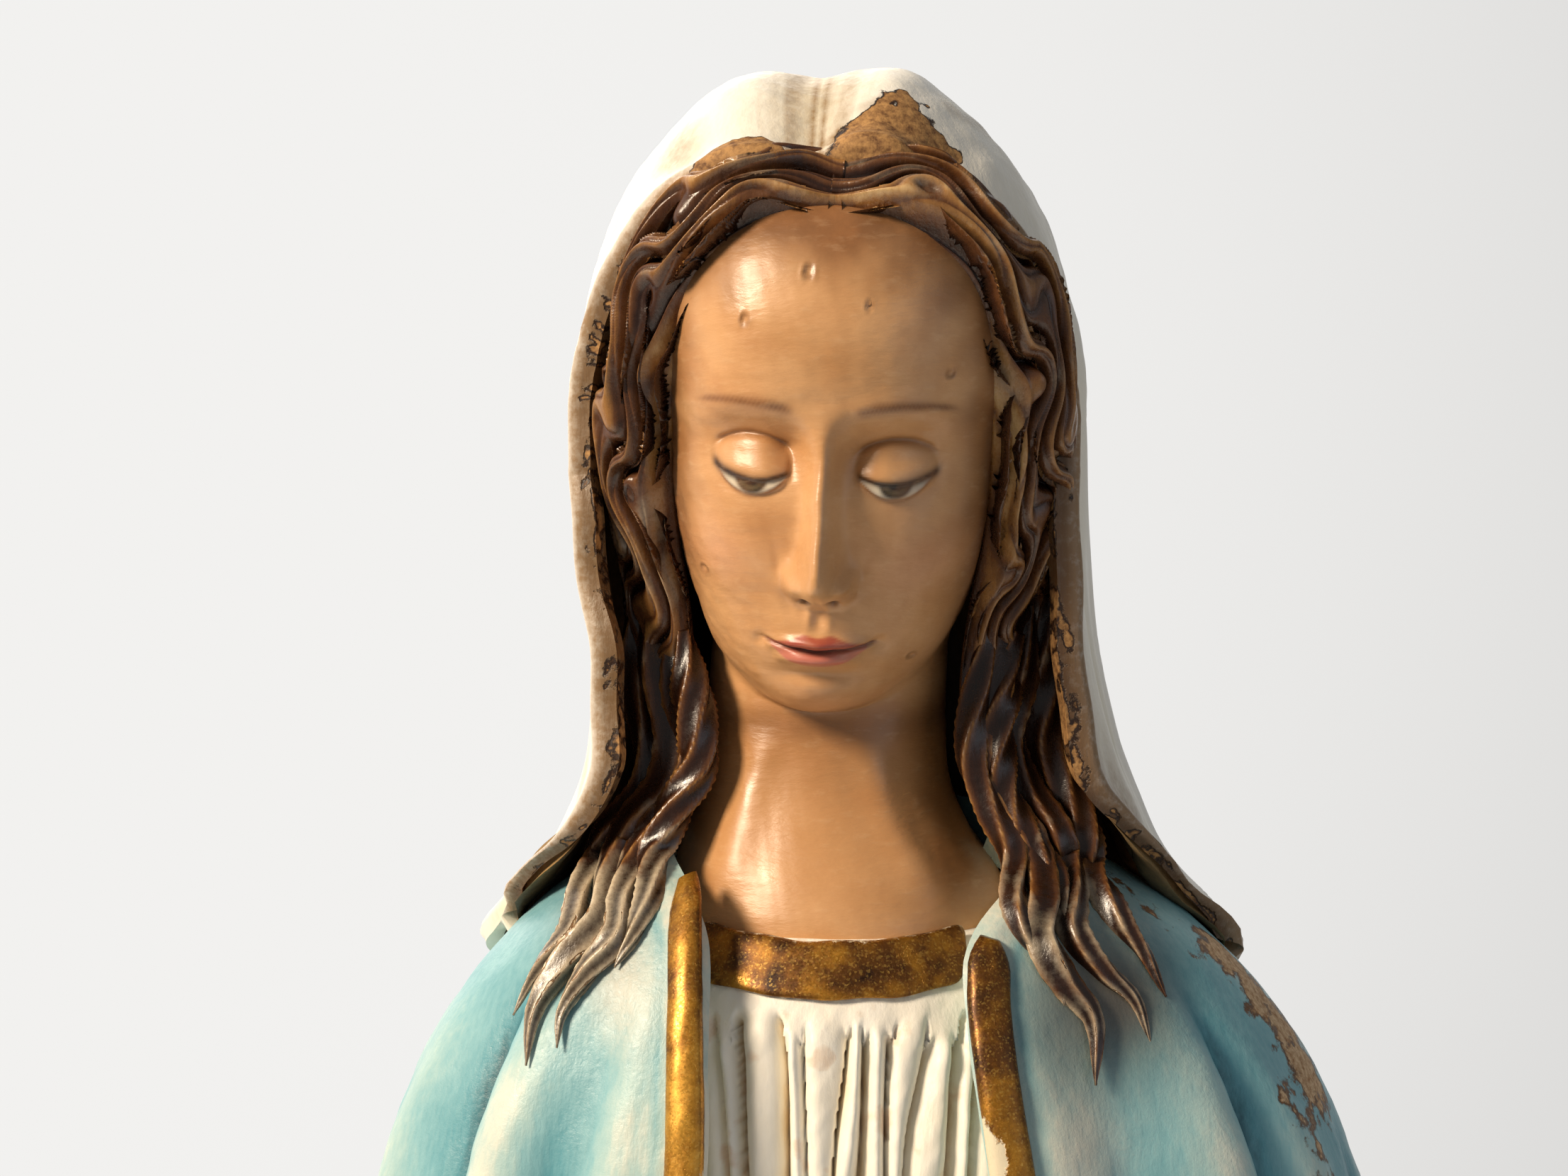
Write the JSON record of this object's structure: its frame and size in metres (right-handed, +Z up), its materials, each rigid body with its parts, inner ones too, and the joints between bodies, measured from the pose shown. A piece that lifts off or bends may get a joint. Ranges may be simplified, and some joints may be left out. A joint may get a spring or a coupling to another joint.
{
  "type": "madonna statue",
  "caption": "Standing madonna statue in painted plaster, veiled, arms lowered and open, on a globe and a round plinth.",
  "frame": {"origin": "centre of the underside of the felt under the plinth", "axes": "+Z up, the figure faces -Y, its own left side is on +X"},
  "size_m": [0.1614, 0.108, 0.406],
  "materials": {
    "skin_paint": "semi-gloss oil paint on plaster, flesh colour with brown sprayed shading",
    "hair_paint": "dark brown paint and varnish on plaster, ridges rubbed to cream",
    "veil_paint": "thick satin cream paint on plaster, chipped and stained",
    "cream_paint": "satin cream paint on plaster",
    "blue_paint": "satin pale blue paint on plaster with darker valleys",
    "bronze_paint": "bronze powder paint on plaster, tarnished brown",
    "globe_paint": "satin blue paint on plaster",
    "serpent_paint": "green paint and varnish on plaster",
    "bare_plaster": "bare cast plaster, chalky",
    "green_felt": "wool felt",
    "iron_wire": "soft iron wire and rod, dull, lightly rusted"
  },
  "bodies": {
    "root": {"felt_pad": "green_felt", "base_plug": "bare_plaster", "plinth": "blue_paint", "globe": "globe_paint", "serpent": "serpent_paint", "foot_left": "skin_paint", "foot_right": "skin_paint", "gown_skirt": "cream_paint", "sash": "blue_paint", "gown_bodice": "cream_paint", "neckline_band": "bronze_paint", "mantle": "blue_paint", "mantle_trim_left": "bronze_paint", "mantle_trim_right": "bronze_paint", "sleeve_left": "cream_paint", "sleeve_right": "cream_paint", "cuff_left": "bronze_paint", "cuff_right": "bronze_paint", "hand_left": "skin_paint", "hand_right": "skin_paint", "wrist_pin_left": "iron_wire", "wrist_pin_right": "iron_wire", "head": "skin_paint", "hair_crown_left": "hair_paint", "hair_crown_right": "hair_paint", "hair_lock_left": "hair_paint", "hair_lock_right": "hair_paint", "veil": "veil_paint", "armature_rod": "iron_wire"}
  },
  "joints": []
}
